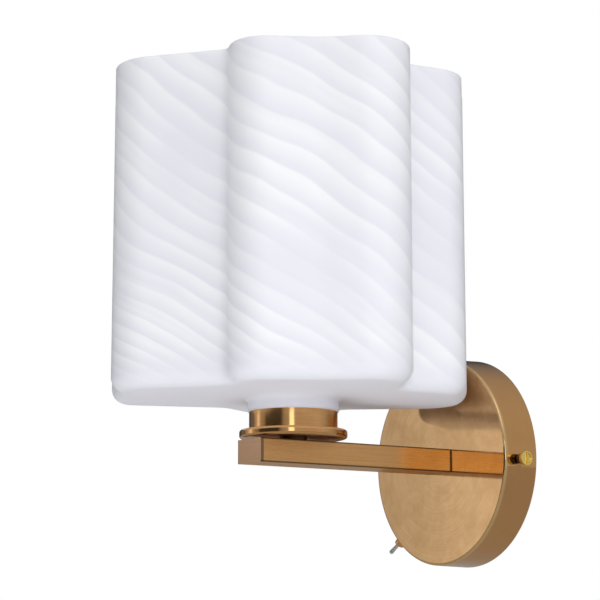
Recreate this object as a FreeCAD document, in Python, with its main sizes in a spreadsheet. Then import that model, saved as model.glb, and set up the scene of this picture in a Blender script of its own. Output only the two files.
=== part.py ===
import FreeCAD, Part
import math
import os
import Sketcher
from FreeCAD import Placement, Rotation, Vector

# Shell wall sconce in millimetres. The wall is the plane y = 0, the lamp reaches out along -Y,
# +Z is up, and the origin is the centre of the bracket's back face.

SIZES = [
    # Round wall plate
    ("plate_radius", 60.0),
    ("plate_draft", 0.7),
    ("plate_depth", 22.2),
    ("plate_wall", 1.5),
    ("plate_edge", 1.4),
    # Clearances
    ("thread_play", 0.1),
    ("hole_play", 0.3),
    ("turn_gap", 0.3),
    # Wall bracket
    ("strap_thickness", 1.8),
    ("strap_height", 44.0),
    ("strap_shoulder", 44.0),
    ("tab_height", 18.0),
    ("tab_gap", 1.8),
    ("tab_margin", 5.0),
    ("slot_spacing", 70.0),
    ("slot_length", 12.0),
    ("slot_radius", 2.3),
    # Side screws
    ("side_screw_radius", 2.0),
    ("side_screw_depth", 12.3),
    ("side_screw_drop", 2.0),
    ("head_root_radius", 2.7),
    ("head_radius", 3.95),
    ("head_height", 6.2),
    ("head_dish", 0.6),
    ("head_rim", 0.75),
    ("head_slot", 1.0),
    ("head_slot_depth", 0.9),
    # Arm
    ("arm_width", 23.4),
    ("arm_height", 13.1),
    ("arm_wall", 1.2),
    ("arm_overhang", 28.4),
    ("arm_edge", 0.5),
    ("arm_cap_thickness", 1.5),
    ("arm_spigot", 3.0),
    ("plug_length", 14.0),
    # Threaded pipes, nuts and washers
    ("arm_pipe_radius", 4.0),
    ("arm_pipe_bore", 2.8),
    ("arm_nut_flats", 12.0),
    ("pipe_radius", 5.0),
    ("pipe_bore", 3.6),
    ("pipe_end", 1.2),
    ("nut_flats", 14.0),
    ("nut_height", 4.0),
    ("washer_radius", 8.5),
    ("washer_thickness", 1.0),
    # Lamp column
    ("spacer_radius", 7.5),
    ("spacer_height", 1.35),
    ("disc_radius", 29.7),
    ("disc_thickness", 4.7),
    ("disc_edge", 1.5),
    ("cup_radius", 24.3),
    ("cup_height", 10.0),
    ("cup_wall", 2.0),
    # Glass shade
    ("shade_clearance", 1.0),
    ("neck_radius", 24.9),
    ("neck_height", 7.0),
    ("neck_fillet", 3.0),
    ("neck_bore", 21.2),
    ("glass_wall", 3.0),
    ("shade_height", 179.0),
    ("bottom_round", 8.0),
    ("rim_bevel", 0.8),
    ("valley_round", 6.0),
    ("dip_round", 40.0),
    # The shade's lobes: the lobe on the right, the one by the wall, the left one and the front one
    ("right_valley_reach", 77.8),
    ("right_valley_angle", -60.9),
    ("right_corner_reach", 98.8),
    ("right_corner_angle", -51.4),
    ("right_corner_round", 20.0),
    ("right_dip_reach", 91.5),
    ("right_dip_angle", -24.5),
    ("right_crest_reach", 117.2),
    ("right_crest_angle", -0.9),
    ("right_crest_round", 23.8),
    ("wall_valley_reach", 74.8),
    ("wall_valley_angle", 19.4),
    ("wall_corner_reach", 99.0),
    ("wall_corner_angle", 40.6),
    ("wall_corner_round", 21.2),
    ("wall_dip_reach", 93.4),
    ("wall_dip_angle", 55.4),
    ("wall_crest_reach", 113.9),
    ("wall_crest_angle", 81.6),
    ("wall_crest_round", 27.2),
    ("left_valley_reach", 63.5),
    ("left_valley_angle", 120.9),
    ("left_corner_reach", 97.1),
    ("left_corner_angle", 126.6),
    ("left_corner_round", 15.0),
    ("left_dip_reach", 89.0),
    ("left_dip_angle", 143.9),
    ("left_crest_reach", 89.8),
    ("left_crest_angle", 160.1),
    ("left_crest_round", 15.0),
    ("front_valley_reach", 63.6),
    ("front_valley_angle", 188.9),
    ("front_corner_reach", 107.7),
    ("front_corner_angle", 217.7),
    ("front_corner_round", 14.5),
    ("front_dip_reach", 96.6),
    ("front_dip_angle", 242.6),
    ("front_crest_reach", 112.0),
    ("front_crest_angle", 262.6),
    ("front_crest_round", 27.3),
    # Lampholder
    ("holder_radius", 20.0),
    ("holder_wall", 2.2),
    ("holder_step", 0.4),
    ("holder_cap_height", 17.4),
    ("holder_ledge", 12.4),
    ("ledge_width", 2.0),
    ("core_height", 12.0),
    ("contact_well", 3.0),
    ("contact_well_radius", 7.0),
    ("sleeve_height", 36.0),
    ("socket_radius", 13.3),
    ("socket_wall", 0.6),
    ("socket_depth", 26.0),
    ("contact_radius", 3.5),
    ("contact_height", 2.6),
    # Shade ring
    ("ring_radius", 28.0),
    ("ring_flange", 2.6),
    ("ring_height", 7.0),
    ("ring_wall", 3.0),
    ("grip_radius", 1.6),
    ("grip_count", 12),
    # Toggle switch
    ("switch_angle", 223.0),
    ("switch_depth", 14.0),
    ("switch_width", 8.0),
    ("switch_length", 12.4),
    ("switch_height", 11.0),
    ("bushing_radius", 3.0),
    ("bushing_bore", 2.2),
    ("bushing_length", 8.6),
    ("bushing_floor", 2.0),
    ("switch_nut_flats", 8.0),
    ("switch_nut_height", 2.2),
    ("pivot_radius", 1.85),
    ("pivot_depth", 2.6),
    ("lever_length", 10.8),
    ("lever_root", 1.0),
    ("lever_tip", 1.3),
    ("lever_tail", 2.4),
    ("lever_tilt", 15.0),
    ("lug_width", 2.0),
    ("lug_thickness", 0.8),
    ("lug_length", 4.0),
    ("lug_spacing", 4.7),
    # Terminal block and its screws
    ("block_width", 24.0),
    ("block_height", 11.0),
    ("block_depth", 11.0),
    ("block_level", 16.0),
    ("pole_spacing", 14.0),
    ("wire_hole", 1.6),
    ("terminal_radius", 1.4),
    ("terminal_spacing", 5.6),
    ("terminal_length", 4.0),
    ("block_screw_radius", 1.5),
    ("block_screw_head", 2.7),
    ("block_screw_seat", 3.0),
    ("earth_radius", 2.0),
    ("earth_head", 3.6),
    ("earth_head_height", 2.2),
    ("earth_across", 17.0),
    ("earth_drop", 14.0),
]

size = dict(SIZES)
parts = []


def outline_corners():
    """The sharp corners of the shade's outline and their rounding, lobe after lobe."""
    corners = []
    for lobe in ("right", "wall", "left", "front"):
        for kind in ("valley", "corner", "dip", "crest"):
            own = "%s_%s" % (lobe, kind)
            reach = size[own + "_reach"]
            turn = math.radians(size[own + "_angle"])
            radius = size[kind + "_round"] if kind in ("valley", "dip") else size[own + "_round"]
            corners.append((Vector(reach * math.cos(turn), reach * math.sin(turn), 0), radius))
    return corners


def outline_arcs(inset):
    """The arcs that round the shade's corners, moved inward, as (start, top, end, centre, bulge)."""
    corners = outline_corners()
    arcs = []
    for index, (here, radius) in enumerate(corners):
        to_last = (corners[index - 1][0] - here).normalize()
        to_next = (corners[(index + 1) % len(corners)][0] - here).normalize()
        half = to_last.getAngle(to_next) / 2
        middle = (to_last + to_next).normalize()
        centre = here + middle * (radius / math.sin(half))
        run = radius / math.tan(half)
        bulges = centre.Length < here.Length
        moved = radius - inset if bulges else radius + inset
        ends = [centre + (here + way * run - centre).normalize() * moved for way in (to_last, to_next)]
        arcs.append((ends[0], centre - middle * moved, ends[1], centre, moved if bulges else 0.0))
    return arcs


def reach_to_wall():
    """How far the outline reaches from the lamp's axis towards the wall."""
    return max(centre.y + bulge for _, _, _, centre, bulge in outline_arcs(0) if bulge)


# The lamp's axis stands clear of the plate by the shade's reach, and the arm runs on past it
size["lamp_reach"] = size["plate_depth"] + size["shade_clearance"] + reach_to_wall()
size["arm_length"] = size["lamp_reach"] + size["arm_overhang"] - size["plate_depth"]

doc = FreeCAD.newDocument("sconce")
sheet = doc.addObject("Spreadsheet::Sheet", "size")
for row, (alias, number) in enumerate(size.items(), start=1):
    sheet.set("A%d" % row, alias.replace("_", " "))
    sheet.set("B%d" % row, str(number))
    sheet.setAlias("B%d" % row, alias)
gauge = doc.addObject("App::FeaturePython", "gauge")
gauge.addProperty("App::PropertyFloat", "Reading")
doc.recompute()


def measure(expression):
    """The number that an expression in the sheet's sizes gives."""
    gauge.setExpression("Reading", expression)
    gauge.recompute()
    return gauge.Reading


def new_body(label):
    body = doc.addObject("PartDesign::Body", label)
    body.Label = label
    parts.append(body)
    return body


def origin_plane(body, role):
    return [item for item in body.Origin.OriginFeatures if item.Role == role][0]


def new_sketch(body, role, name, offset=None):
    """A sketch on one of the body's own planes, moved along the plane's normal by an expression."""
    sketch = body.newObject("Sketcher::SketchObject", name)
    sketch.AttachmentSupport = [(origin_plane(body, role), "")]
    sketch.MapMode = "FlatFace"
    if offset:
        sketch.setExpression("AttachmentOffset.Base.z", offset)
    return sketch


def tie_coordinate(sketch, kind, geometry, corner, expression):
    """Hold one coordinate of a point at an expression, whichever side of the axis it lies."""
    number = measure(expression)
    if abs(number) < 1e-9:
        axis = -2 if kind == "DistanceX" else -1
        sketch.addConstraint(Sketcher.Constraint("PointOnObject", geometry, corner, axis))
        return
    if number > 0:
        index = sketch.addConstraint(Sketcher.Constraint(kind, -1, 1, geometry, corner, number))
        sketch.setExpression("Constraints[%d]" % index, expression)
    else:
        index = sketch.addConstraint(Sketcher.Constraint(kind, geometry, corner, -1, 1, -number))
        sketch.setExpression("Constraints[%d]" % index, "-(%s)" % expression)


def add_polygon(sketch, corners):
    """A closed outline of straight lines through corners given as pairs of expressions."""
    points = [Vector(measure(across), measure(up), 0) for across, up in corners]
    first = sketch.GeometryCount
    count = len(points)
    for index in range(count):
        sketch.addGeometry(Part.LineSegment(points[index], points[(index + 1) % count]), False)
    for index in range(count):
        following = first + (index + 1) % count
        sketch.addConstraint(Sketcher.Constraint("Coincident", first + index, 2, following, 1))
    for index, (across, up) in enumerate(corners):
        tie_coordinate(sketch, "DistanceX", first + index, 1, across)
        tie_coordinate(sketch, "DistanceY", first + index, 1, up)


def add_rectangle(sketch, across, up):
    """A rectangle about the sketch's origin, given by half its width and half its height."""
    add_polygon(sketch, [("-" + across, "-" + up), (across, "-" + up), (across, up), ("-" + across, up)])


def add_circle(sketch, across, up, radius):
    centre = Vector(measure(across), measure(up), 0)
    circle = sketch.addGeometry(Part.Circle(centre, Vector(0, 0, 1), measure(radius)), False)
    index = sketch.addConstraint(Sketcher.Constraint("Radius", circle, measure(radius)))
    sketch.setExpression("Constraints[%d]" % index, radius)
    tie_coordinate(sketch, "DistanceX", circle, 3, across)
    tie_coordinate(sketch, "DistanceY", circle, 3, up)


def add_hexagon(sketch, flats):
    """A hexagon about the sketch's origin, given by the distance across its flats."""
    corner = "%s / 2 / cos(30)" % flats
    corners = []
    for turn in range(0, 360, 60):
        up = "0" if turn % 180 == 0 else "%s * sin(%d)" % (corner, turn)
        corners.append(("%s * cos(%d)" % (corner, turn), up))
    add_polygon(sketch, corners)


def pad(body, sketch, length, reverse=False):
    feature = body.newObject("PartDesign::Pad", sketch.Name + "_pad")
    feature.Profile = sketch
    feature.setExpression("Length", length)
    feature.Reversed = reverse
    doc.recompute()
    return feature


def cut(body, sketch, length=None, reverse=False, both=False):
    """A pocket that has to take material away."""
    before = body.Shape.Volume
    feature = body.newObject("PartDesign::Pocket", sketch.Name + "_cut")
    feature.Profile = sketch
    feature.Reversed = reverse
    if length:
        feature.setExpression("Length", length)
    else:
        feature.Type = 1
    feature.Midplane = both
    doc.recompute()
    if body.Shape.Volume > before - 1e-6:
        raise RuntimeError("%s takes nothing from %s" % (sketch.Name, body.Label))
    return feature


def turned(label, corners):
    """A body turned about its Z axis from an outline of (radius, height) corners."""
    body = new_body(label)
    sketch = new_sketch(body, "XZ_Plane", label + "_outline")
    add_polygon(sketch, corners)
    feature = body.newObject("PartDesign::Revolution", label + "_turn")
    feature.Profile = sketch
    feature.ReferenceAxis = (sketch, ["V_Axis"])
    feature.Angle = 360
    doc.recompute()
    return body


def tube(label, outer, inner, low, high):
    return turned(label, [(inner, low), (outer, low), (outer, high), (inner, high)])


def hex_nut(label, flats, bore, low, height):
    body = new_body(label)
    sketch = new_sketch(body, "XY_Plane", label + "_outline", low)
    add_hexagon(sketch, flats)
    add_circle(sketch, "0", "0", bore)
    pad(body, sketch, height)
    return body


def dress_edges(body, kind, name, amount, wanted):
    """A fillet or a chamfer on the edges that the test picks, which have to be there."""
    base = body.Tip
    names = ["Edge%d" % (number + 1) for number, edge in enumerate(base.Shape.Edges) if wanted(edge)]
    if not names:
        raise RuntimeError("%s finds no edges on %s" % (name, body.Label))
    feature = body.newObject("PartDesign::" + kind, name)
    feature.Base = (base, names)
    feature.setExpression("Radius" if kind == "Fillet" else "Size", amount)
    doc.recompute()
    return feature


def round_edges(body, name, radius, wanted):
    return dress_edges(body, "Fillet", name, radius, wanted)


def bevel_edges(body, name, width, wanted):
    return dress_edges(body, "Chamfer", name, width, wanted)


def circle_edge(radius, height, axis="z"):
    """A test for the full circle of a radius at a height along an axis."""
    def wanted(edge):
        if not isinstance(edge.Curve, Part.Circle):
            return False
        place = getattr(edge.Curve.Center, axis)
        return abs(edge.Curve.Radius - radius) < 0.01 and abs(place - height) < 0.01
    return wanted


def seat(body, across="0", out="0", up="0", rotation=None):
    """Put a body in its place in the sconce, tied to the sheet."""
    if rotation:
        body.Placement = Placement(Vector(), rotation)
    body.setExpression("Placement.Base.x", across)
    body.setExpression("Placement.Base.y", out)
    body.setExpression("Placement.Base.z", up)


# Heights and places that several pieces share, as expressions in the sheet's sizes

ARM_TOP = "size.arm_height / 2"
ARM_ROOF = "(size.arm_height / 2 - size.arm_wall)"
DISC_BASE = "(size.arm_height / 2 + size.spacer_height)"
DISC_TOP = "(size.arm_height / 2 + size.spacer_height + size.disc_thickness)"
CUP_TOP = "(%s + size.cup_height)" % DISC_TOP
UNDERSIDE = "(%s + size.neck_height)" % CUP_TOP
SHADE_FLOOR = "(%s + size.glass_wall)" % UNDERSIDE
SHADE_TOP = "(%s + size.shade_height)" % UNDERSIDE
HOLDER_BASE = "(%s + size.cup_wall)" % DISC_TOP
CORE_BASE = "(%s + size.holder_ledge)" % HOLDER_BASE
CORE_TOP = "(%s + size.core_height)" % CORE_BASE
SLEEVE_BASE = "(%s + size.holder_cap_height)" % HOLDER_BASE
SLEEVE_TOP = "(%s + size.sleeve_height)" % SLEEVE_BASE
PLATE_FACE = "(-size.plate_depth)"
PLATE_INSIDE = "(size.plate_wall - size.plate_depth)"
BRACKET_REACH = "(size.plate_radius - size.plate_draft - size.plate_wall - size.tab_gap)"
SWITCH_SEAT = "(size.plate_radius - size.plate_draft - size.plate_wall - size.thread_play * 2)"
LAMP_OUT = "-size.lamp_reach"
FACING_OUT = Rotation(Vector(1, 0, 0), 90)


def wall_bracket():
    """A strap against the wall with a bent tab at each end, tapped for the side screws."""
    body = new_body("wall_bracket")
    outline = new_sketch(body, "XZ_Plane", "strap_outline")
    half = "size.strap_height / 2"
    end = "size.tab_height / 2"
    shoulder = "size.strap_shoulder"
    add_polygon(outline, [
        ("-" + BRACKET_REACH, "-" + end), ("-" + shoulder, "-" + half),
        (shoulder, "-" + half), (BRACKET_REACH, "-" + end),
        (BRACKET_REACH, end), (shoulder, half),
        ("-" + shoulder, half), ("-" + BRACKET_REACH, end),
    ])
    pad(body, outline, "size.strap_thickness")
    for side, sign in (("left", "-"), ("right", "")):
        tab = new_sketch(body, "XZ_Plane", "tab_%s" % side)
        inner = "%s(%s - size.strap_thickness)" % (sign, BRACKET_REACH)
        outer = sign + BRACKET_REACH
        add_polygon(tab, [(inner, "-" + end), (outer, "-" + end), (outer, end), (inner, end)])
        pad(body, tab, "size.side_screw_depth + size.tab_margin")
    reach = measure(BRACKET_REACH)
    round_edges(body, "bends", "size.strap_thickness", lambda edge: (
        abs(edge.BoundBox.YMax) < 0.01 and edge.BoundBox.YLength < 0.01
        and edge.BoundBox.XLength < 0.01 and abs(abs(edge.BoundBox.XMax) - reach) < 0.01))
    tapping = new_sketch(body, "YZ_Plane", "tab_holes")
    add_circle(tapping, "-size.side_screw_depth", "-size.side_screw_drop",
               "size.side_screw_radius + size.thread_play")
    cut(body, tapping, "size.plate_radius * 4", both=True)
    holes = new_sketch(body, "XZ_Plane", "strap_holes")
    add_circle(holes, "0", "size.block_level", "size.block_screw_radius + size.thread_play")
    add_circle(holes, "size.earth_across", "-size.earth_drop", "size.earth_radius + size.thread_play")
    cut(body, holes, "size.strap_thickness * 2", both=True)
    slots = new_sketch(body, "XZ_Plane", "wall_slots")
    radius = size["slot_radius"]
    straight = size["slot_length"] / 2 - radius
    for side in (-1, 1):
        middle = side * size["slot_spacing"] / 2
        left = Vector(middle - straight, 0, 0)
        right = Vector(middle + straight, 0, 0)
        lift = Vector(0, radius, 0)
        slots.addGeometry(Part.LineSegment(left - lift, right - lift), False)
        slots.addGeometry(Part.Arc(right - lift, right + Vector(radius, 0, 0), right + lift), False)
        slots.addGeometry(Part.LineSegment(right + lift, left + lift), False)
        slots.addGeometry(Part.Arc(left + lift, left - Vector(radius, 0, 0), left - lift), False)
    cut(body, slots, "size.strap_thickness * 2", both=True)
    return body


def canopy():
    """The round wall plate: a shallow cup with its rim against the wall."""
    body = new_body("canopy")
    front = "size.plate_radius - size.plate_draft"
    outline = new_sketch(body, "XY_Plane", "canopy_outline")
    add_polygon(outline, [
        ("size.plate_radius - size.plate_wall", "0"), ("size.plate_radius", "0"),
        (front, PLATE_FACE), ("0", PLATE_FACE), ("0", PLATE_INSIDE),
        (front + " - size.plate_wall", PLATE_INSIDE),
    ])
    turn = body.newObject("PartDesign::Revolution", "canopy_turn")
    turn.Profile = outline
    turn.ReferenceAxis = (outline, ["V_Axis"])
    turn.Angle = 360
    doc.recompute()
    face = size["plate_radius"] - size["plate_draft"]
    round_edges(body, "front_edge", "size.plate_edge", circle_edge(face, -size["plate_depth"], "y"))
    middle = new_sketch(body, "XZ_Plane", "arm_hole")
    add_circle(middle, "0", "0", "size.arm_pipe_radius + size.hole_play")
    cut(body, middle, "size.plate_depth * 2", reverse=True)
    sides = new_sketch(body, "YZ_Plane", "side_holes")
    add_circle(sides, "-size.side_screw_depth", "-size.side_screw_drop",
               "size.side_screw_radius + size.hole_play")
    cut(body, sides, "size.plate_radius * 4", both=True)
    lower = new_sketch(body, "XY_Plane", "switch_hole")
    lower.AttachmentOffset = Placement(Vector(), Rotation(Vector(0, 1, 0), 90 - size["switch_angle"]))
    add_circle(lower, "0", "-size.switch_depth", "size.bushing_radius + size.hole_play / 2")
    cut(body, lower, "size.plate_radius * 2", reverse=True)
    return body


def arm():
    """A rectangular brass tube with an end cap and a tapped plug at the wall plate."""
    body = new_body("arm_tube")
    across = "size.arm_width / 2"
    up = "size.arm_height / 2"
    outline = new_sketch(body, "XZ_Plane", "arm_outline", "size.plate_depth")
    add_rectangle(outline, across, up)
    add_rectangle(outline, "(size.arm_width / 2 - size.arm_wall)", ARM_ROOF)
    pad(body, outline, "size.arm_length - size.arm_cap_thickness")
    width = size["arm_width"] / 2
    height = size["arm_height"] / 2

    def outer_corner(edge):
        middle = edge.BoundBox.Center
        return abs(abs(middle.x) - width) < 0.01 and abs(abs(middle.z) - height) < 0.01

    round_edges(body, "arm_corners", "size.arm_edge", outer_corner)
    hole = new_sketch(body, "XY_Plane", "lamp_hole", ARM_TOP)
    add_circle(hole, "0", LAMP_OUT, "size.pipe_radius + size.hole_play")
    cut(body, hole, "size.arm_wall * 2")

    cap = new_body("arm_end_cap")
    cap_outline = new_sketch(cap, "XZ_Plane", "cap_outline",
                             "size.plate_depth + size.arm_length - size.arm_cap_thickness")
    add_rectangle(cap_outline, across, up)
    pad(cap, cap_outline, "size.arm_cap_thickness")
    round_edges(cap, "cap_corners", "size.arm_edge", outer_corner)
    spigot = new_sketch(cap, "XZ_Plane", "cap_spigot",
                        "size.plate_depth + size.arm_length - size.arm_cap_thickness")
    inner = "(size.arm_width / 2 - size.arm_wall - size.thread_play)"
    roof = "(size.arm_height / 2 - size.arm_wall - size.thread_play)"
    add_rectangle(spigot, inner, roof)
    pad(cap, spigot, "size.arm_spigot", reverse=True)

    plug = new_body("arm_root_plug")
    plug_outline = new_sketch(plug, "XZ_Plane", "plug_outline", "size.plate_depth")
    add_rectangle(plug_outline, inner, roof)
    add_circle(plug_outline, "0", "0", "size.arm_pipe_radius + size.thread_play")
    pad(plug, plug_outline, "size.plug_length")


def arm_fixing():
    """The threaded pipe through the wall plate, with its washer and nut."""
    washer_seat = "(size.plate_depth - size.plate_wall)"
    nut_seat = "(%s - size.washer_thickness)" % washer_seat
    nut_end = "(%s - size.nut_height)" % nut_seat
    bore = "size.arm_pipe_radius + size.thread_play"
    pipe = tube("arm_nipple", "size.arm_pipe_radius", "size.arm_pipe_bore",
                nut_end + " - size.pipe_end", "size.plate_depth + size.plug_length - size.pipe_end")
    seat(pipe, rotation=FACING_OUT)
    washer = tube("arm_washer", "size.washer_radius", bore, nut_seat, washer_seat)
    seat(washer, rotation=FACING_OUT)
    nut = hex_nut("arm_nut", "size.arm_nut_flats", bore, nut_end, "size.nut_height")
    seat(nut, rotation=FACING_OUT)


def side_screws():
    """Two slotted thumb screws with flared, dished heads, which hold the plate on the bracket."""
    for label, turn in (("side_screw_right", 90), ("side_screw_left", -90)):
        tip = "(%s - size.strap_thickness - size.pipe_end)" % BRACKET_REACH
        root = "(size.plate_radius + size.hole_play)"
        face = "(size.plate_radius + size.head_height)"
        body = turned(label, [
            ("0", tip), ("size.side_screw_radius", tip), ("size.side_screw_radius", root),
            ("size.head_root_radius", root), ("size.head_radius", face + " - size.head_rim"),
            ("size.head_radius", face), ("size.head_radius - size.head_rim", face),
            ("size.head_radius - size.head_rim", face + " - size.head_dish"),
            ("0", face + " - size.head_dish"),
        ])
        slot = new_sketch(body, "XY_Plane", label + "_slot", face)
        add_rectangle(slot, "(size.head_radius - size.head_rim - size.thread_play)", "size.head_slot / 2")
        cut(body, slot, "size.head_dish + size.head_slot_depth")
        seat(body, "0", "-size.side_screw_depth", "-size.side_screw_drop", Rotation(Vector(0, 1, 0), turn))


def lamp_column():
    """Spacer, collar disc and cup under the shade, held by a threaded pipe and two nuts."""
    bore = "size.pipe_radius + size.hole_play"
    spacer = tube("spacer_washer", "size.spacer_radius", bore, ARM_TOP, DISC_BASE)
    disc = tube("collar_disc", "size.disc_radius", bore, DISC_BASE, DISC_TOP)
    radius = size["disc_radius"]
    for height, name in ((measure(DISC_BASE), "disc_lower_edge"), (measure(DISC_TOP), "disc_upper_edge")):
        round_edges(disc, name, "size.disc_edge", circle_edge(radius, height))
    cup_inside = "size.cup_radius - size.cup_wall"
    cup = turned("shade_cup", [
        (bore, DISC_TOP), ("size.cup_radius", DISC_TOP), ("size.cup_radius", CUP_TOP),
        (cup_inside, CUP_TOP), (cup_inside, HOLDER_BASE), (bore, HOLDER_BASE),
    ])
    pipe = tube("lamp_nipple", "size.pipe_radius", "size.pipe_bore",
                ARM_ROOF + " - size.nut_height - size.pipe_end",
                HOLDER_BASE + " + size.holder_wall + size.nut_height + size.pipe_end")
    lower = hex_nut("lamp_nut_lower", "size.nut_flats", "size.pipe_radius + size.thread_play",
                    ARM_ROOF + " - size.nut_height", "size.nut_height")
    upper = hex_nut("lamp_nut_upper", "size.nut_flats", "size.pipe_radius + size.thread_play",
                    HOLDER_BASE + " + size.holder_wall", "size.nut_height")
    for body in (spacer, disc, cup, pipe, lower, upper):
        seat(body, "0", LAMP_OUT, "0")


def lampholder():
    """A medium screw lampholder: cap, ceramic core, sleeve, screw shell and centre contact."""
    outer = "(size.holder_radius - size.holder_step)"
    inner = "(size.holder_radius - size.holder_step - size.holder_wall)"
    ledge = "(size.holder_radius - size.holder_step - size.holder_wall - size.ledge_width)"
    bore = "size.pipe_radius + size.thread_play"
    floor = "(%s + size.holder_wall)" % HOLDER_BASE
    cap = turned("holder_cap", [
        (bore, HOLDER_BASE), (outer, HOLDER_BASE), (outer, SLEEVE_BASE), (inner, SLEEVE_BASE),
        (inner, CORE_BASE), (ledge, CORE_BASE), (ledge, floor), (bore, floor),
    ])
    well = "(%s - size.contact_well)" % CORE_TOP
    core = turned("holder_core", [
        ("0", CORE_BASE), (inner + " - size.hole_play", CORE_BASE),
        (inner + " - size.hole_play", CORE_TOP), ("size.contact_well_radius", CORE_TOP),
        ("size.contact_well_radius", well), ("0", well),
    ])
    lip = "(%s - size.holder_wall)" % SLEEVE_TOP
    shoulder = "(%s + size.thread_play)" % CORE_TOP
    sleeve = turned("holder_sleeve", [
        (inner, SLEEVE_BASE), ("size.holder_radius", SLEEVE_BASE), ("size.holder_radius", SLEEVE_TOP),
        ("size.socket_radius + size.holder_wall", SLEEVE_TOP), ("size.socket_radius + size.holder_wall", lip),
        (ledge, lip), (ledge, shoulder), (inner, shoulder),
    ])
    bevel_edges(sleeve, "sleeve_lip", "size.holder_wall / 2",
                circle_edge(size["holder_radius"], measure(SLEEVE_TOP)))
    shell = tube("socket_shell", "size.socket_radius + size.socket_wall", "size.socket_radius",
                 CORE_TOP, CORE_TOP + " + size.socket_depth")
    dome = "size.contact_radius - size.contact_height / 2"
    contact = turned("centre_contact", [
        ("0", well), ("size.contact_radius", well),
        ("size.contact_radius", well + " + size.contact_height / 2"),
        (dome, well + " + size.contact_height"), ("0", well + " + size.contact_height"),
    ])
    for body in (cap, core, sleeve, shell, contact):
        seat(body, "0", LAMP_OUT, "0")


def shade_ring():
    """The threaded ring that clamps the glass, turned by hand at its notched flange."""
    low = "(%s + size.turn_gap)" % SHADE_FLOOR
    bore = "size.holder_radius + size.turn_gap"
    hub = "size.holder_radius + size.ring_wall"
    body = turned("shade_ring", [
        (bore, low), ("size.ring_radius", low), ("size.ring_radius", low + " + size.ring_flange"),
        (hub, low + " + size.ring_flange"), (hub, low + " + size.ring_height"),
        (bore, low + " + size.ring_height"),
    ])
    notch = new_sketch(body, "XY_Plane", "grip_notch", low)
    add_circle(notch, "size.ring_radius + size.grip_radius / 2", "0", "size.grip_radius")
    feature = cut(body, notch, "size.ring_flange", reverse=True)
    pattern = body.newObject("PartDesign::PolarPattern", "grip_notches")
    pattern.Originals = [feature]
    pattern.Axis = (notch, ["N_Axis"])
    pattern.Angle = 360
    pattern.Occurrences = int(size["grip_count"])
    body.Tip = pattern
    doc.recompute()
    seat(body, "0", LAMP_OUT, "0")


def lobed_outline(inset):
    """The shade's outline as tangent arcs and lines, moved inward by the inset."""
    arcs = outline_arcs(inset)
    edges = []
    for index, (start, top, end, _, _) in enumerate(arcs):
        edges.append(Part.Arc(start, top, end))
        edges.append(Part.LineSegment(end, arcs[(index + 1) % len(arcs)][0]))
    return edges


def level_edge(height, least_reach):
    """A test for edges that lie flat at a height and outside a radius."""
    def wanted(edge):
        box = edge.BoundBox
        flat = abs(box.ZMin - height) < 0.01 and abs(box.ZMax - height) < 0.01
        return flat and max(math.hypot(v.X, v.Y) for v in edge.Vertexes) > least_reach
    return wanted


def glass_shade():
    """The blown opal shade: four lobes, a rounded bottom and a short neck on the cup."""
    body = new_body("glass_shade")
    outline = new_sketch(body, "XY_Plane", "lobed_outline", UNDERSIDE)
    for edge in lobed_outline(0):
        outline.addGeometry(edge, False)
    pad(body, outline, "size.shade_height")
    neck = new_sketch(body, "XY_Plane", "neck_outline", CUP_TOP)
    add_circle(neck, "0", "0", "size.neck_radius")
    pad(body, neck, "size.neck_height")
    round_edges(body, "bottom_rounding", "size.bottom_round",
                level_edge(measure(UNDERSIDE), size["neck_radius"] + size["neck_fillet"]))
    round_edges(body, "neck_root", "size.neck_fillet", circle_edge(size["neck_radius"], measure(UNDERSIDE)))
    inside = new_sketch(body, "XY_Plane", "inner_outline", SHADE_FLOOR)
    for edge in lobed_outline(size["glass_wall"]):
        inside.addGeometry(edge, False)
    cut(body, inside, "size.shade_height", reverse=True)
    round_edges(body, "inner_rounding", "size.bottom_round - size.glass_wall",
                level_edge(measure(SHADE_FLOOR), size["neck_radius"]))
    bore = new_sketch(body, "XY_Plane", "neck_bore", CUP_TOP)
    add_circle(bore, "0", "0", "size.neck_bore")
    cut(body, bore, "size.neck_height + size.glass_wall * 2", reverse=True)
    bevel_edges(body, "ground_rim", "size.rim_bevel", level_edge(measure(SHADE_TOP), 0))
    seat(body, "0", LAMP_OUT, "0")


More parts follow.
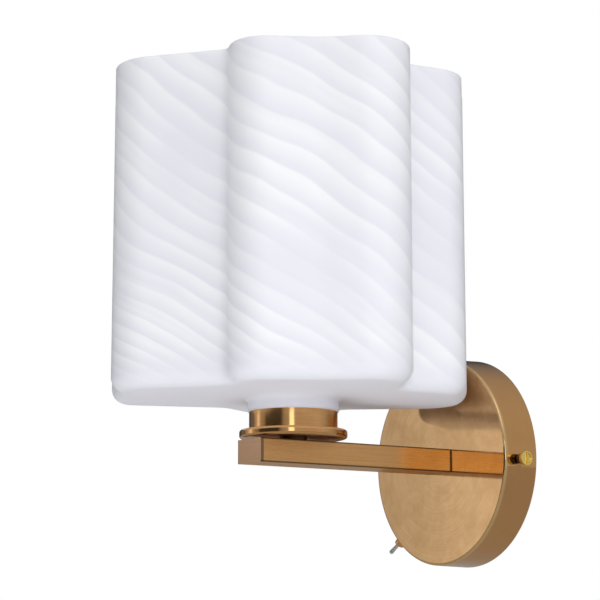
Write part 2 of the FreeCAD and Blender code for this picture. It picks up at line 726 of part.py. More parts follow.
def toggle_switch():
    """A small toggle switch through the plate's rim. Its own Z axis is the rim's radius."""
    outward = Rotation(Vector(0, 1, 0), 90 - size["switch_angle"])
    case = new_body("switch_body")
    case_outline = new_sketch(case, "XY_Plane", "switch_case", SWITCH_SEAT)
    add_rectangle(case_outline, "size.switch_width / 2", "size.switch_length / 2")
    pad(case, case_outline, "size.switch_height", reverse=True)
    lugs = new_body("switch_lugs")
    lug_outline = new_sketch(lugs, "XY_Plane", "lug_outline", SWITCH_SEAT + " - size.switch_height")
    wide = "size.lug_width / 2"
    for step in (-1, 0, 1):
        near = "(size.lug_spacing * %d - size.lug_thickness / 2)" % step
        far = "(size.lug_spacing * %d + size.lug_thickness / 2)" % step
        add_polygon(lug_outline, [("-" + wide, near), (wide, near), (wide, far), ("-" + wide, far)])
    pad(lugs, lug_outline, "size.lug_length", reverse=True)
    mouth = "(%s + size.bushing_length)" % SWITCH_SEAT
    floor = "(%s + size.bushing_floor)" % SWITCH_SEAT
    bushing = turned("switch_bushing", [
        ("0", SWITCH_SEAT), ("size.bushing_radius", SWITCH_SEAT), ("size.bushing_radius", mouth),
        ("size.bushing_bore", mouth), ("size.bushing_bore", floor), ("0", floor),
    ])
    nut = hex_nut("switch_nut", "size.switch_nut_flats", "size.bushing_radius + size.thread_play",
                  "size.plate_radius", "size.switch_nut_height")
    for body in (case, lugs, bushing, nut):
        seat(body, "0", "-size.switch_depth", "0", outward)
    lever = new_body("switch_lever")
    outline = new_sketch(lever, "XZ_Plane", "lever_outline")
    ball = size["pivot_radius"]
    root = size["lever_root"]
    tip = size["lever_tip"]
    length = size["lever_length"]
    tail = size["lever_tail"]
    join = math.sqrt(ball * ball - root * root)
    outline.addGeometry(Part.LineSegment(Vector(0, -tail, 0), Vector(root, -tail, 0)), False)
    outline.addGeometry(Part.LineSegment(Vector(root, -tail, 0), Vector(root, -join, 0)), False)
    outline.addGeometry(Part.Arc(Vector(root, -join, 0), Vector(ball, 0, 0), Vector(root, join, 0)), False)
    outline.addGeometry(Part.LineSegment(Vector(root, join, 0), Vector(tip, length - tip, 0)), False)
    slope = tip * math.sin(math.radians(45))
    outline.addGeometry(Part.Arc(Vector(tip, length - tip, 0), Vector(slope, length - tip + slope, 0),
                                 Vector(0, length, 0)), False)
    outline.addGeometry(Part.LineSegment(Vector(0, length, 0), Vector(0, -tail, 0)), False)
    turn = lever.newObject("PartDesign::Revolution", "lever_turn")
    turn.Profile = outline
    turn.ReferenceAxis = (outline, ["V_Axis"])
    turn.Angle = 360
    doc.recompute()
    pivot = measure(mouth) - size["pivot_depth"]
    place = outward.multVec(Vector(0, 0, pivot)) - Vector(0, size["switch_depth"], 0)
    lever.Placement = Placement(place, outward * Rotation(Vector(1, 0, 0), size["lever_tilt"]))


def block_and_screws():
    """The terminal block on the bracket, with its screws, and the earth screw."""
    block = new_body("terminal_block")
    outline = new_sketch(block, "XZ_Plane", "block_outline", "size.strap_thickness")
    across = "size.block_width / 2"
    low = "size.block_level - size.block_height / 2"
    high = "size.block_level + size.block_height / 2"
    add_polygon(outline, [("-" + across, low), (across, low), (across, high), ("-" + across, high)])
    add_circle(outline, "0", "size.block_level", "size.block_screw_radius + size.hole_play")
    pad(block, outline, "size.block_depth")
    front = "size.strap_thickness + size.block_depth"
    recess = new_sketch(block, "XZ_Plane", "block_recess", front)
    add_circle(recess, "0", "size.block_level", "size.block_screw_head + size.hole_play")
    cut(block, recess, "size.block_screw_seat")
    screw_holes = new_sketch(block, "XZ_Plane", "terminal_holes", front)
    for side in ("-", ""):
        for rise in ("-", "+"):
            add_circle(screw_holes, side + "size.pole_spacing / 2",
                       "size.block_level %s size.terminal_spacing / 2" % rise,
                       "size.terminal_radius + size.thread_play")
    cut(block, screw_holes, "size.block_depth / 2")
    wires = new_sketch(block, "XY_Plane", "wire_holes")
    for side in ("-", ""):
        add_circle(wires, side + "size.pole_spacing / 2",
                   "-(size.strap_thickness + size.block_depth / 2)", "size.wire_hole")
    cut(block, wires, "size.plate_radius", reverse=True)

    terminals = new_body("terminal_screws")
    heads = new_sketch(terminals, "XZ_Plane", "terminal_outline", front)
    for side in ("-", ""):
        for rise in ("-", "+"):
            add_circle(heads, side + "size.pole_spacing / 2",
                       "size.block_level %s size.terminal_spacing / 2" % rise, "size.terminal_radius")
    pad(terminals, heads, "size.terminal_length", reverse=True)

    seat_at = "(%s - size.block_screw_seat)" % front
    holder = turned("block_screw", [
        ("0", "size.thread_play"), ("size.block_screw_radius", "size.thread_play"),
        ("size.block_screw_radius", seat_at), ("size.block_screw_head", seat_at),
        ("size.block_screw_head", seat_at + " + size.block_screw_radius"),
        ("0", seat_at + " + size.block_screw_radius"),
    ])
    seat(holder, "0", "0", "size.block_level", FACING_OUT)
    earth = turned("earth_screw", [
        ("0", "size.thread_play"), ("size.earth_radius", "size.thread_play"),
        ("size.earth_radius", "size.strap_thickness"), ("size.earth_head", "size.strap_thickness"),
        ("size.earth_head", "size.strap_thickness + size.earth_head_height"),
        ("0", "size.strap_thickness + size.earth_head_height"),
    ])
    seat(earth, "size.earth_across", "0", "-size.earth_drop", FACING_OUT)


wall_bracket()
canopy()
arm()
arm_fixing()
side_screws()
lamp_column()
lampholder()
shade_ring()
glass_shade()
toggle_switch()
block_and_screws()
doc.recompute()

for item in doc.Objects:
    if "Invalid" in item.State or "Error" in item.State:
        raise RuntimeError("%s failed: %s" % (item.Label, item.State))
for body in parts:
    if body.Shape.isNull() or not body.Shape.isValid():
        raise RuntimeError("%s has no valid shape" % body.Label)

os.makedirs("parts", exist_ok=True)
for body in parts:
    body.Shape.exportStep("parts/%s.step" % body.Label)
    print("%-18s %2d solid(s) %10.1f mm3" % (body.Label, len(body.Shape.Solids), body.Shape.Volume))
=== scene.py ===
import math
import bmesh
import bpy
from mathutils import Matrix, Vector


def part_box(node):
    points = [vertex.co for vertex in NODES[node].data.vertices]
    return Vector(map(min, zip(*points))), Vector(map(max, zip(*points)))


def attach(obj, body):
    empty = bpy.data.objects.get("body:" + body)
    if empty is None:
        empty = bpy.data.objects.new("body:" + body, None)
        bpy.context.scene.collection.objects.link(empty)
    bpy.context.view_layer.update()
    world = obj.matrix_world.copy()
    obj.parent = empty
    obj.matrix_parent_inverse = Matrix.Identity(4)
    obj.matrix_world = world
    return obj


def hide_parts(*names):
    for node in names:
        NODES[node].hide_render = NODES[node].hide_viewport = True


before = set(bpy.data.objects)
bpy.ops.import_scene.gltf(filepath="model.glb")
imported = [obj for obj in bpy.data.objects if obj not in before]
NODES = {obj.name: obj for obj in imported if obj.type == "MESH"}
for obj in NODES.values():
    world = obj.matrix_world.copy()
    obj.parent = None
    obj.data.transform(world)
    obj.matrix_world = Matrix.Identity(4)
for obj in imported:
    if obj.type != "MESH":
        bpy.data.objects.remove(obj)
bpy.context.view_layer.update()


# Places that the finishes and the glass follow, read from the CAD nodes: x to the right, y towards the wall, z up

PLATE_LOW, PLATE_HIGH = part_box("canopy")
PLATE_REACH = PLATE_HIGH.x
PLATE_DEPTH = -PLATE_LOW.y
ARM_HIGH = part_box("arm_tube")[1]
CUP_LOW, CUP_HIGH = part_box("shade_cup")
LAMP = Vector((0.0, (CUP_LOW.y + CUP_HIGH.y) / 2.0, 0.0))
SHADE_LOW, SHADE_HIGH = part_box("glass_shade")


# Camera for a 600 x 600 frame, in front of the lamp, to its right and a little below: angles in degrees, lens in
# millimetres

CAMERA_PLACE = (0.8466, -0.6923, -0.0915)
CAMERA_YAW = 55.88
CAMERA_PITCH = 9.83
CAMERA_ROLL = -0.02
CAMERA_LENS = 111.8
CAMERA_SENSOR = 36.0


# Studio light, as (direction round the lamp in degrees, level): the soft light on the glass, then what the metal
# mirrors

SOFT = (
    (-180.0, 0.12), (-120.0, 0.27), (-70.0, 0.44), (-30.0, 0.92), (0.0, 1.0), (28.0, 0.94), (44.0, 0.60),
    (60.0, 0.22), (90.0, 0.06), (160.0, 0.08),
)
SOFT_LEVEL = 1.56
PANELS = (
    (-180.0, 0.12), (-160.0, 0.12), (-152.0, 0.27), (-147.0, 0.37), (-143.0, 0.44), (-139.5, 0.74), (-134.0, 0.72),
    (-129.0, 0.30), (-114.0, 0.18), (-109.0, 0.03), (-66.0, 0.03), (-58.0, 0.24), (-28.0, 0.34), (12.0, 0.36),
    (34.0, 0.40), (58.0, 0.28), (84.0, 0.10), (104.0, 0.04), (168.0, 0.05),
)
PANEL_LEVEL = 1.4

# The mirrored ceiling starts above the panels. It is lighter to the right and, past a point, towards the front.

CEILING_RISE = (0.35, 0.8)
CEILING_LEVEL = 0.48
CEILING_TO_THE_RIGHT = 0.2
CEILING_FRONT_START = -0.12
CEILING_TO_THE_FRONT = 2.2

FLOOR_HEIGHT = -0.62
FLOOR_HALF_WIDTH = 6.0
FLOOR_TONE = (0.60, 0.59, 0.58, 1.0)


# Tones of the metals and the glass, and the depth of the fine scratches in metres

BRASS_DARK = (0.68, 0.362, 0.140, 1.0)
BRASS_LIGHT = (0.85, 0.470, 0.190, 1.0)
PLATE_DARK = (0.62, 0.380, 0.180, 1.0)
PLATE_LIGHT = (0.76, 0.475, 0.235, 1.0)
END_DARK = (0.62, 0.37, 0.21, 1.0)
END_LIGHT = (0.76, 0.47, 0.29, 1.0)
# Painted shade: the dark lines along the arm's edges, at its root against the plate and along the end cap's sides
PAINTED_SHADE_LINE = (0.09, 0.055, 0.025, 1.0)
DARK_THREAD = (0.10, 0.06, 0.025, 1.0)
PATINA = (0.52, 0.300, 0.130, 1.0)
# Painted highlight: light brass for the plate's front edge
PAINTED_EDGE_HIGHLIGHT = (1.0, 0.72, 0.36, 1.0)
GLASS_CLEAR = (0.815, 0.820, 0.892, 1.0)
GLASS_WHITE = (0.955, 0.958, 1.0, 1.0)
SCRATCH = 0.00003


# The glass, in metres

GLASS = 0.0030
NECK_REACH = 0.0249
NECK_BORE = 0.0212
NECK_BASE = SHADE_LOW.z
NECK_STEP = 0.0020
NECK_FILLET = 0.0030
SHADE_BASE = NECK_BASE + 0.0070
SHADE_TOP = SHADE_HIGH.z
BOTTOM_ROUND = 0.0080
RIM_ROUND = 0.0012
WALL_FOOT = SHADE_BASE + BOTTOM_ROUND
WALL_HEAD = SHADE_TOP - RIM_ROUND

# How finely the glass is drawn: points round it, steps up the wall, steps over a quarter turn of each rounding, and
# the shares of the floor's width where it has a ring

AROUND = 320
WALL_STEPS = 40
FILLET_STEPS = 6
BOTTOM_STEPS = 8
RIM_STEPS = 4
ARC_STEPS = 24
FLOOR_RINGS = (0.15, 0.4, 0.7)

# The shade's outline, lobe after lobe: (reach, angle, rounding) of its sharp corners in metres and degrees

OUTLINE = (
    (0.0778, -60.9, 0.0060), (0.0988, -51.4, 0.0200), (0.0915, -24.5, 0.0400), (0.1172, -0.9, 0.0238),
    (0.0748, 19.4, 0.0060), (0.0981, 40.4, 0.0212), (0.0934, 55.4, 0.0400), (0.1139, 81.6, 0.0272),
    (0.0635, 120.9, 0.0060), (0.0971, 126.6, 0.0150), (0.0890, 143.9, 0.0400), (0.0898, 160.1, 0.0150),
    (0.0636, 188.9, 0.0060), (0.1093, 218.8, 0.0145), (0.0966, 242.6, 0.0400), (0.1112, 262.8, 0.0273),
)


# Camera

def place_camera():
    """Stand the camera at its place, turned from +y towards -x by its yaw and tipped up by its pitch."""
    yaw, pitch, roll = (math.radians(angle) for angle in (CAMERA_YAW, CAMERA_PITCH, CAMERA_ROLL))
    ahead = Vector((-math.sin(yaw) * math.cos(pitch), math.cos(yaw) * math.cos(pitch), math.sin(pitch)))
    right = Vector((math.cos(yaw), math.sin(yaw), 0.0))
    over = right.cross(ahead)
    side = math.cos(roll) * right + math.sin(roll) * over
    top = -math.sin(roll) * right + math.cos(roll) * over
    data = bpy.data.cameras.new("camera")
    data.sensor_width = CAMERA_SENSOR
    data.lens = CAMERA_LENS
    data.clip_start = 0.05
    data.clip_end = 40.0
    camera = bpy.data.objects.new("camera", data)
    camera.matrix_world = Matrix.Translation(CAMERA_PLACE) @ Matrix((side, top, -ahead)).transposed().to_4x4()
    bpy.context.scene.collection.objects.link(camera)
    bpy.context.scene.camera = camera


# Node trees

class Nodes:
    """A node tree with short calls for what the studio and the finishes are built of."""

    def __init__(self, tree):
        self.tree = tree

    def add(self, kind, **settings):
        node = self.tree.nodes.new(kind)
        for key, value in settings.items():
            setattr(node, key, value)
        return node

    def feed(self, socket, value):
        if isinstance(value, bpy.types.NodeSocket):
            self.tree.links.new(value, socket)
        else:
            socket.default_value = value

    def work(self, operation, first, second=0.0):
        node = self.add("ShaderNodeMath", operation=operation)
        self.feed(node.inputs[0], first)
        self.feed(node.inputs[1], second)
        return node.outputs[0]

    def plus(self, first, second):
        return self.work("ADD", first, second)

    def minus(self, first, second):
        return self.work("SUBTRACT", first, second)

    def times(self, first, second):
        return self.work("MULTIPLY", first, second)

    def spread(self, value, low, high, new_low=0.0, new_high=1.0):
        """A value moved from one span to another, and kept inside it."""
        node = self.add("ShaderNodeMapRange", clamp=True)
        self.feed(node.inputs["Value"], value)
        node.inputs["From Min"].default_value = low
        node.inputs["From Max"].default_value = high
        node.inputs["To Min"].default_value = new_low
        node.inputs["To Max"].default_value = new_high
        return node.outputs[0]

    def fade(self, share, low, high):
        """From one level to another as a share goes from 0 to 1."""
        return self.plus(self.times(self.minus(1.0, share), low), self.times(share, high))

    def apart(self, vector):
        node = self.add("ShaderNodeSeparateXYZ")
        self.feed(node.inputs[0], vector)
        return node.outputs

    def joined(self, *parts):
        node = self.add("ShaderNodeCombineXYZ")
        for socket, part in zip(node.inputs, parts):
            self.feed(socket, part)
        return node.outputs[0]

    def vector(self, operation, first, second=(0.0, 0.0, 0.0)):
        node = self.add("ShaderNodeVectorMath", operation=operation)
        self.feed(node.inputs[0], first)
        self.feed(node.inputs[1], second)
        return node.outputs[0]


# Studio

def soft_lamp(name, place, aim, width, height, power, tint=(1.0, 1.0, 1.0), mirrored=True):
    """A rectangular lamp that shines from its place at a point. The metal mirrors it only where that is asked for."""
    data = bpy.data.lights.new(name, "AREA")
    data.shape = "RECTANGLE"
    data.size = width
    data.size_y = height
    data.energy = power
    data.color = tint
    lamp = bpy.data.objects.new(name, data)
    lamp.visible_glossy = mirrored
    lamp.location = place
    lamp.rotation_euler = (Vector(aim) - Vector(place)).to_track_quat("-Z", "Y").to_euler()
    bpy.context.scene.collection.objects.link(lamp)


def lay_floor():
    mesh = bpy.data.meshes.new("floor")
    sheet = bmesh.new()
    bmesh.ops.create_grid(sheet, x_segments=1, y_segments=1, size=FLOOR_HALF_WIDTH)
    bmesh.ops.translate(sheet, verts=sheet.verts, vec=(0.0, 0.0, FLOOR_HEIGHT))
    sheet.to_mesh(mesh)
    sheet.free()
    ground = bpy.data.objects.new("floor", mesh)
    bpy.context.scene.collection.objects.link(ground)
    paint = Finish("pale floor")
    mesh.materials.append(paint.set(Base_Color=FLOOR_TONE, Roughness=0.9))


def light_studio():
    """White behind the lamp, soft light all round, and panels and dark gaps for the metal to mirror."""
    world = bpy.data.worlds.new("studio")
    world.use_nodes = True
    bpy.context.scene.world = world
    nodes = Nodes(world.node_tree)
    sky = nodes.tree.nodes["Background"]
    ray = nodes.add("ShaderNodeLightPath").outputs
    across, away, rise = nodes.apart(nodes.add("ShaderNodeTexCoord").outputs["Generated"])
    turn = nodes.plus(nodes.work("DIVIDE", nodes.work("ARCTAN2", away, across), 2.0 * math.pi), 0.5)

    def round_the_lamp(levels, most):
        ramp = nodes.add("ShaderNodeValToRGB")
        nodes.feed(ramp.inputs[0], turn)
        stops = ramp.color_ramp.elements
        while len(stops) > 1:
            stops.remove(stops[-1])
        for index, (angle, level) in enumerate(levels):
            place = angle / 360.0 + 0.5
            stop = stops[0] if index == 0 else stops.new(place)
            stop.position = place
            stop.color = (level, level, level, 1.0)
        return nodes.times(ramp.outputs[0], most)

    soft = round_the_lamp(SOFT, SOFT_LEVEL)
    panels = round_the_lamp(PANELS, PANEL_LEVEL)
    front = nodes.work("MAXIMUM", nodes.minus(CEILING_FRONT_START, away), 0.0)
    ceiling = nodes.plus(nodes.plus(CEILING_LEVEL, nodes.times(across, CEILING_TO_THE_RIGHT)),
                         nodes.times(front, CEILING_TO_THE_FRONT))
    mirrored = nodes.fade(nodes.spread(rise, *CEILING_RISE), panels, ceiling)
    level = nodes.fade(ray["Is Glossy Ray"], soft, mirrored)
    nodes.feed(sky.inputs["Strength"], nodes.fade(ray["Is Camera Ray"], level, 1.0))
    sky.inputs["Color"].default_value = (1.0, 1.0, 1.0, 1.0)
    soft_lamp("front strip light", place=(1.20, -1.05, 0.25), aim=(0.0, -0.12, 0.06), width=0.30, height=0.45,
              power=0.82, tint=(0.82, 0.98, 1.0))
    soft_lamp("low fill light", place=(0.11, -0.27, -0.58), aim=(0.0, -0.13, 0.03), width=1.0, height=1.0,
              power=4.7, mirrored=False)
    lay_floor()


# Finishes

class Finish(Nodes):
    """The node tree of one material, on the piece's own coordinates."""

    def __init__(self, name):
        self.material = bpy.data.materials.new(name)
        self.material.use_nodes = True
        super().__init__(self.material.node_tree)
        self.shader = self.tree.nodes["Principled BSDF"]
        self.place = self.add("ShaderNodeTexCoord").outputs["Object"]

    def moved(self, centre=(0.0, 0.0, 0.0), scale=(1.0, 1.0, 1.0)):
        """The piece's coordinates from a centre, then stretched."""
        mapping = self.add("ShaderNodeMapping")
        self.feed(mapping.inputs["Vector"], self.vector("SUBTRACT", self.place, centre))
        mapping.inputs["Scale"].default_value = scale
        return mapping.outputs[0]

    def polar(self, centre, axis):
        """(distance from an axis, angle round it, place along it) for a turned piece."""
        parts = self.apart(self.moved(centre))
        across, up = (parts[index] for index in range(3) if index != "XYZ".index(axis))
        reach = self.work("SQRT", self.plus(self.times(across, across), self.times(up, up)))
        return reach, self.work("ARCTAN2", up, across), parts["XYZ".index(axis)]

    def grain(self, where, scale, detail=2.0, rough=0.5):
        node = self.add("ShaderNodeTexNoise")
        self.feed(node.inputs["Vector"], where)
        node.inputs["Scale"].default_value = scale
        node.inputs["Detail"].default_value = detail
        node.inputs["Roughness"].default_value = rough
        return node.outputs["Fac"]

    def blend(self, share, first, second):
        node = self.add("ShaderNodeMix", data_type="RGBA")
        self.feed(node.inputs["Factor"], share)
        self.feed(node.inputs[6], first)
        self.feed(node.inputs[7], second)
        return node.outputs[2]

    def brushing(self, amount, axis, centre=None):
        """Stretch the gloss across fine scratches that run along an axis, or round it where a centre is given.

        Straight scratches lean a little off the axis, so that faces square to it keep a direction too.
        """
        lean = 0.02 if centre is None else 0.0
        scratch = self.joined(*(1.0 if name == axis else lean for name in "XYZ"))
        if centre is not None:
            scratch = self.vector("CROSS_PRODUCT", scratch, self.moved(centre))
        across = self.vector("CROSS_PRODUCT", self.add("ShaderNodeNewGeometry").outputs["Normal"], scratch)
        self.feed(self.shader.inputs["Tangent"], self.vector("NORMALIZE", across))
        self.shader.inputs["Anisotropic"].default_value = amount

    def bump(self, height, strength, distance):
        node = self.add("ShaderNodeBump")
        node.inputs["Strength"].default_value = strength
        node.inputs["Distance"].default_value = distance
        self.feed(node.inputs["Height"], height)
        self.feed(self.shader.inputs["Normal"], node.outputs[0])

    def set(self, **values):
        for key, value in values.items():
            self.feed(self.shader.inputs[key.replace("_", " ")], value)
        return self.material


def turned_brass(name, centre, axis, dark, light, rough, rings, rim=None, edge=None):
    """Brass turned on a lathe: fine rings round an axis under a clear lacquer.

    Where a rim is given, as a distance from the axis, the face inside it has a mottled patina, and a highlight is
    painted in light brass where the rim meets the edge, given as a place along the axis.
    """
    finish = Finish(name)
    reach, angle, along = finish.polar(centre, axis)
    lines = finish.grain(finish.joined(finish.times(reach, rings), finish.times(angle, 1.5),
                                       finish.times(along, rings)), 1.0, detail=2.0, rough=0.6)
    cloud = finish.grain(finish.place, 30.0, detail=3.0, rough=0.55)
    tone = finish.blend(finish.spread(lines, 0.3, 0.7), dark, light)
    tone = finish.blend(finish.spread(cloud, 0.35, 0.75, 0.0, 0.3), tone, dark)
    if rim is not None:
        patch = finish.grain(finish.place, 48.0, detail=8.0, rough=0.72)
        tone = finish.blend(finish.spread(patch, 0.42, 0.62, 0.0, 0.6), tone, PATINA)
        tone = finish.blend(finish.spread(reach, rim, rim + 0.001, 0.0, 0.8), tone, BRASS_DARK)
        # Painted highlight: light brass where the rim meets the front edge
        out = finish.spread(reach, rim - 0.0004, rim + 0.0008)
        forward = finish.spread(finish.work("ABSOLUTE", along), edge - 0.0010, edge + 0.0006, 0.0, 0.7)
        tone = finish.blend(finish.times(out, forward), tone, PAINTED_EDGE_HIGHLIGHT)
    finish.bump(lines, 0.02, SCRATCH)
    finish.brushing(0.5, axis, centre)
    return finish.set(Base_Color=tone, Metallic=1.0,
                      Roughness=finish.spread(cloud, 0.3, 0.7, rough - 0.02, rough + 0.03))


def brushed_brass(name, axis, dark, light, rough, seam_shade=0.0):
    """Brass of the arm, brushed along an axis under a clear lacquer, with dark lines of painted shade along its edges
    and joints.
    """
    finish = Finish(name)
    fine = 2700.0
    lines = finish.grain(finish.moved(scale=[fine / 120.0 if part == axis else fine for part in "XYZ"]), 1.0,
                         detail=3.0, rough=0.6)
    cloud = finish.grain(finish.place, 35.0, detail=3.0, rough=0.5)
    tone = finish.blend(finish.spread(lines, 0.3, 0.7), dark, light)
    tone = finish.blend(finish.spread(cloud, 0.4, 0.8, 0.0, 0.3), tone, dark)
    across, along, up = finish.apart(finish.place)
    wide = finish.work("ABSOLUTE", across)
    tall = finish.work("ABSOLUTE", up)
    # Painted shade: dark lines along the arm's long edges and at its root where it meets the plate
    edges = finish.times(finish.spread(wide, ARM_HIGH.x - 0.0011, ARM_HIGH.x - 0.0007),
                         finish.spread(tall, ARM_HIGH.z - 0.00095, ARM_HIGH.z - 0.00055))
    root = finish.spread(along, -PLATE_DEPTH - 0.0011, -PLATE_DEPTH - 0.0006)
    tone = finish.blend(finish.work("MAXIMUM", finish.times(edges, 0.85), root), tone, PAINTED_SHADE_LINE)
    # Painted shade: a dark line along the side edges, as strong as seam_shade asks
    tone = finish.blend(finish.spread(wide, ARM_HIGH.x - 0.0007, ARM_HIGH.x - 0.0004, 0.0, seam_shade), tone, PAINTED_SHADE_LINE)
    finish.bump(lines, 0.06, SCRATCH)
    finish.brushing(0.85, axis)
    return finish.set(Base_Color=tone, Metallic=1.0,
                      Roughness=finish.spread(lines, 0.3, 0.7, rough - 0.02, rough + 0.03))


def plain_metal(name, light, dark, rough, thread_end=None):
    """Metal with a faint cloud. Where a thread's end is given, it is dark up to that distance from the middle."""
    finish = Finish(name)
    cloud = finish.grain(finish.place, 220.0, detail=4.0, rough=0.6)
    finish.bump(cloud, 0.1, SCRATCH)
    tone = finish.blend(finish.spread(cloud, 0.3, 0.7), dark, light)
    if thread_end is not None:
        out = finish.work("ABSOLUTE", finish.apart(finish.place)[0])
        tone = finish.blend(finish.spread(out, thread_end, thread_end + 0.0004, 1.0, 0.0), tone, DARK_THREAD)
    return finish.set(Base_Color=tone, Metallic=1.0,
                      Roughness=finish.spread(cloud, 0.3, 0.7, rough - 0.04, rough + 0.08))


def moulded(name, light, dark, rough):
    """Porcelain or plastic from a mould."""
    finish = Finish(name)
    cloud = finish.grain(finish.place, 600.0, detail=3.0, rough=0.55)
    finish.bump(cloud, 0.12, 0.00005)
    return finish.set(Base_Color=finish.blend(finish.spread(cloud, 0.3, 0.7), dark, light),
                      Roughness=finish.spread(cloud, 0.3, 0.7, rough - 0.05, rough + 0.05))


def swirled_glass():
    """Opal glass with the soft slanting streaks that turning it in the blowing leaves.

    The phase counts streaks: so many round the shade, so many per metre up, both swayed by slow noise. Low down on
    the left lobe they bunch. Each streak has a crisp upper edge and fades downward; a second, wider set is fainter.
    The swirl attribute gives a direction round the shade's outline and the height.
    """
    finish = Finish("swirled opal glass")
    flow = finish.add("ShaderNodeAttribute", attribute_name="swirl")
    ahead, aside, rise = finish.apart(flow.outputs["Vector"])
    angle = finish.work("ARCTAN2", aside, ahead)
    streaks_round, streaks_up = 30.0, 74.0
    bunch_below, bunch_growth, bunch = 0.12, 12.5, 2.4
    crisp = 0.87
    phase = finish.plus(finish.times(angle, streaks_round / (2.0 * math.pi)), finish.times(rise, streaks_up))
    for scale, sway in ((5.5, 3.6), (20.0, 0.9)):
        phase = finish.plus(phase, finish.times(finish.grain(finish.place, scale, detail=1.0), sway))
    low = finish.work("MAXIMUM", finish.times(finish.minus(bunch_below, rise), bunch_growth), 0.0)
    left = finish.times(finish.spread(angle, -1.3, -0.9), finish.spread(angle, -0.4, 1.0, 1.0, 0.0))
    phase = finish.minus(phase, finish.times(finish.times(low, low), finish.times(left, bunch)))
    share = 0.0
    for pace, start, weight, seed in ((1.0, 0.0, 0.80, 0.0), (0.57, 0.4, 0.30, 3.1)):
        band = finish.work("FRACT", finish.plus(finish.times(phase, pace), start))
        streak = finish.times(finish.spread(band, crisp, 1.0, 1.0, 0.0), finish.spread(band, 0.0, 0.85))
        patch = finish.grain(finish.moved(centre=(seed, 0.0, 0.0)), 14.0, detail=1.0)
        streak = finish.times(streak, finish.spread(patch, 0.34, 0.64, 0.15, 1.0))
        share = finish.plus(share, finish.times(streak, weight))
    share = finish.times(share, finish.spread(rise, 0.032, 0.050))
    finish.bump(share, 0.15, 0.0002)
    return finish.set(Base_Color=finish.blend(share, GLASS_CLEAR, GLASS_WHITE), Roughness=0.45, IOR=1.45,
                      Specular_IOR_Level=0.3, Subsurface_Weight=0.3, Subsurface_Radius=(0.003, 0.003, 0.003),
                      Subsurface_Scale=1.0)


# The blown shade

def rounded_outline():
    """The shade's outline, its corners rounded to arcs."""
    corners = []
    for reach, angle, rounding in OUTLINE:
        turn = math.radians(angle)
        corners.append((Vector((math.cos(turn), math.sin(turn))) * reach, rounding))
    points = []
    for index, (here, rounding) in enumerate(corners):
        back = (corners[index - 1][0] - here).normalized()
        on = (corners[(index + 1) % len(corners)][0] - here).normalized()
        half = back.angle(on) / 2.0
        centre = here + (back + on).normalized() * (rounding / math.sin(half))
        run = rounding / math.tan(half)
        first = here + back * run - centre
        swing = first.angle_signed(here + on * run - centre)
        for step in range(ARC_STEPS + 1):
            points.append(centre + Matrix.Rotation(-swing * step / ARC_STEPS, 2) @ first)
    return points


def lobed_path():
    """Evenly spaced (place, outward direction, share of the way round) on the shade's outline."""
    points = rounded_outline()
    spans = [points[(index + 1) % len(points)] - point for index, point in enumerate(points)]
    lengths = [0.0]
    for span in spans:
        lengths.append(lengths[-1] + span.length)
    places = []
    index = 0
    for step in range(AROUND):
        goal = lengths[-1] * step / AROUND
        while lengths[index + 1] < goal:
            index += 1
        places.append(points[index] + spans[index] * ((goal - lengths[index]) / max(spans[index].length, 1e-9)))
    path = []
    for index, place in enumerate(places):
        along = places[(index + 1) % AROUND] - places[index - 1]
        path.append((place, Vector((along.y, -along.x)).normalized(), index / AROUND))
    return path


def quarter_turn(steps, first=1):
    """The angles of evenly spaced steps over a quarter turn."""
    return [math.radians(90.0 * step / steps) for step in range(first, steps + 1)]


def shade_levels():
    """(height, share, inset) of each ring, from the neck's end outside, over the rim and back inside.

    The share goes from 0 on the neck's circle to 1 on the lobed wall. The inset is the distance in from the wall,
    or the circle's radius where the share is 0, or none on the flat floor between the two.
    """
    levels = [(height, 0.0, NECK_REACH) for height in (NECK_BASE, NECK_BASE + NECK_STEP, SHADE_BASE - NECK_FILLET)]
    for turn in quarter_turn(FILLET_STEPS):
        levels.append((SHADE_BASE - NECK_FILLET * (1.0 - math.sin(turn)), 0.0,
                       NECK_REACH + NECK_FILLET * (1.0 - math.cos(turn))))
    for share in FLOOR_RINGS + (1.0,):
        levels.append((SHADE_BASE, share, None))
    for turn in quarter_turn(BOTTOM_STEPS):
        levels.append((SHADE_BASE + BOTTOM_ROUND * (1.0 - math.cos(turn)), 1.0,
                       BOTTOM_ROUND * (1.0 - math.sin(turn))))
    wall = [WALL_FOOT + (WALL_HEAD - WALL_FOOT) * step / WALL_STEPS for step in range(WALL_STEPS + 1)]
    levels += [(height, 1.0, 0.0) for height in wall[1:]]
    for turn in quarter_turn(RIM_STEPS):
        levels.append((WALL_HEAD + RIM_ROUND * math.sin(turn), 1.0, RIM_ROUND * (1.0 - math.cos(turn))))
    levels.append((SHADE_TOP, 1.0, GLASS - RIM_ROUND))
    for turn in quarter_turn(RIM_STEPS):
        levels.append((WALL_HEAD + RIM_ROUND * math.cos(turn), 1.0, GLASS - RIM_ROUND * (1.0 - math.sin(turn))))
    levels += [(height, 1.0, GLASS) for height in reversed(wall[:-1])]
    inner_round = BOTTOM_ROUND - GLASS
    for turn in reversed(quarter_turn(BOTTOM_STEPS, first=0)[:-1]):
        levels.append((SHADE_BASE + GLASS + inner_round * (1.0 - math.cos(turn)), 1.0,
                       GLASS + inner_round * (1.0 - math.sin(turn))))
    levels += [(SHADE_BASE + GLASS, share, None) for share in reversed(FLOOR_RINGS)]
    levels += [(height, 0.0, NECK_BORE) for height in (SHADE_BASE + GLASS, NECK_BASE)]
    return levels


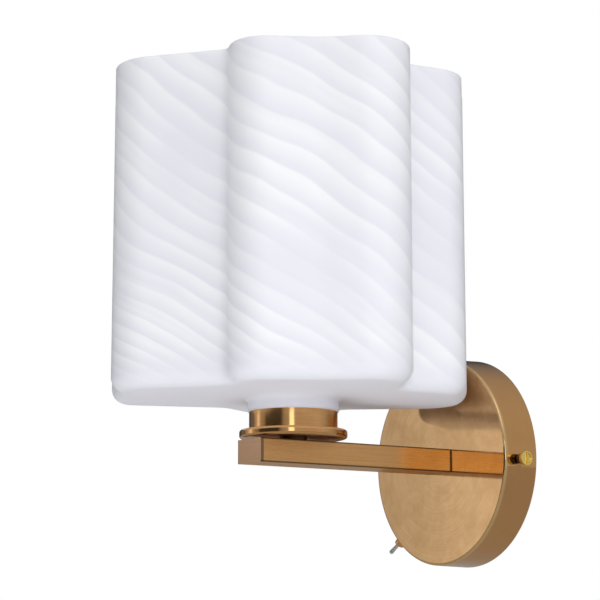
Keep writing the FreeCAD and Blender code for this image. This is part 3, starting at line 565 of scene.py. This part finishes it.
def settle(row, path, swirl, height, share, inset):
    """Put one ring of the glass in its place, and note where each of its points lies in the swirl."""
    for vert, (place, outward, way) in zip(row, path):
        circle = place.normalized()
        if share == 0.0:
            spot = circle * inset
        elif inset is None:
            spot = (circle * (NECK_REACH + NECK_FILLET)).lerp(place - outward * BOTTOM_ROUND, share)
        else:
            spot = place - outward * inset
        vert.co = (spot.x + LAMP.x, spot.y + LAMP.y, height)
        turn = 2.0 * math.pi * way
        vert[swirl] = (math.cos(turn), math.sin(turn), height)


def ring_edges(work, row):
    return [work.edges.get((vert, row[(index + 1) % len(row)])) for index, vert in enumerate(row)]


def blown_shade():
    """The lobed glass, drawn ring after ring and closed at the neck's end."""
    path = lobed_path()
    work = bmesh.new()
    swirl = work.verts.layers.float_vector.new("swirl")
    bmesh.ops.create_circle(work, segments=AROUND, radius=NECK_REACH)
    row = sorted(work.verts, key=lambda vert: math.atan2(vert.co.y, vert.co.x) % (2.0 * math.pi))
    start = math.atan2(path[0][0].y, path[0][0].x) % (2.0 * math.pi)
    first = round(start / (2.0 * math.pi) * AROUND)
    rows = [row[first:] + row[:first]]
    levels = shade_levels()
    settle(rows[0], path, swirl, *levels[0])
    for level in levels[1:]:
        bmesh.ops.extrude_edge_only(work, edges=ring_edges(work, rows[-1]))
        drawn = {vert for row in rows[-2:] for vert in row}
        row = []
        for vert in rows[-1]:
            neighbours = (edge.other_vert(vert) for edge in vert.link_edges)
            row.append(next(neighbour for neighbour in neighbours if neighbour not in drawn))
        settle(row, path, swirl, *level)
        rows.append(row)
    bmesh.ops.bridge_loops(work, edges=ring_edges(work, rows[-1]) + ring_edges(work, rows[0]))
    return work


# Pieces

def new_piece(name, mesh_work, material):
    mesh = bpy.data.meshes.new(name)
    bmesh.ops.recalc_face_normals(mesh_work, faces=mesh_work.faces)
    mesh_work.to_mesh(mesh)
    mesh_work.free()
    mesh.shade_smooth()
    piece = bpy.data.objects.new(name, mesh)
    bpy.context.scene.collection.objects.link(piece)
    mesh.materials.append(material)
    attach(piece, "fixture")
    return piece


def wear(material, *names):
    """Give CAD pieces a finish."""
    for name in names:
        mesh = NODES[name].data
        mesh.materials.clear()
        mesh.materials.append(material)


place_camera()
light_studio()

wear(turned_brass("turned plate brass", (0.0, 0.0, 0.0), "Y", PLATE_DARK, PLATE_LIGHT, 0.075, 2600.0,
                  rim=PLATE_REACH - 0.0015, edge=PLATE_DEPTH - 0.0012),
     "canopy")
wear(turned_brass("polished column brass", tuple(LAMP), "Z", BRASS_DARK, BRASS_LIGHT, 0.13, 1800.0),
     "collar_disc", "shade_cup", "switch_nut", "switch_bushing")
wear(brushed_brass("brushed arm brass", "Y", BRASS_DARK, BRASS_LIGHT, 0.28),
     "arm_tube", "arm_root_plug")
# The end cap carries a painted shade line along its sides
wear(brushed_brass("brushed end brass", "X", END_DARK, END_LIGHT, 0.30, seam_shade=0.7),
     "arm_end_cap")
# Painted shade: the spacer washer is coloured dark as the shade in the gap between the collar disc and the arm
wear(plain_metal("spacer in painted gap shade", (0.16, 0.11, 0.07, 1.0), (0.10, 0.07, 0.045, 1.0), 0.45),
     "spacer_washer")
wear(plain_metal("satin screw brass", (0.98, 0.78, 0.26, 1.0), (0.92, 0.66, 0.18, 1.0), 0.20,
                 thread_end=PLATE_REACH + 0.0032),
     "side_screw_right", "side_screw_left")
wear(plain_metal("polished brass", (0.83, 0.60, 0.22, 1.0), (0.70, 0.47, 0.15, 1.0), 0.14),
     "socket_shell", "centre_contact", "switch_lugs", "earth_screw")
wear(plain_metal("zinc plated steel", (0.70, 0.72, 0.74, 1.0), (0.52, 0.54, 0.56, 1.0), 0.30),
     "wall_bracket", "arm_nipple", "arm_washer", "arm_nut", "lamp_nipple", "lamp_nut_lower", "lamp_nut_upper",
     "terminal_screws", "block_screw")
wear(plain_metal("nickel plated steel", (0.74, 0.73, 0.70, 1.0), (0.60, 0.59, 0.57, 1.0), 0.18),
     "switch_lever")
wear(moulded("unglazed porcelain", (0.86, 0.84, 0.80, 1.0), (0.78, 0.76, 0.72, 1.0), 0.60),
     "holder_core")
wear(moulded("white heatproof plastic", (0.84, 0.83, 0.80, 1.0), (0.78, 0.77, 0.74, 1.0), 0.42),
     "holder_cap", "holder_sleeve", "shade_ring", "terminal_block")
wear(moulded("black phenolic", (0.03, 0.03, 0.032, 1.0), (0.018, 0.018, 0.02, 1.0), 0.38),
     "switch_body")
shade = new_piece("blown_shade", blown_shade(), swirled_glass())
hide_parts("glass_shade")

bpy.context.scene.view_settings.view_transform = "Standard"
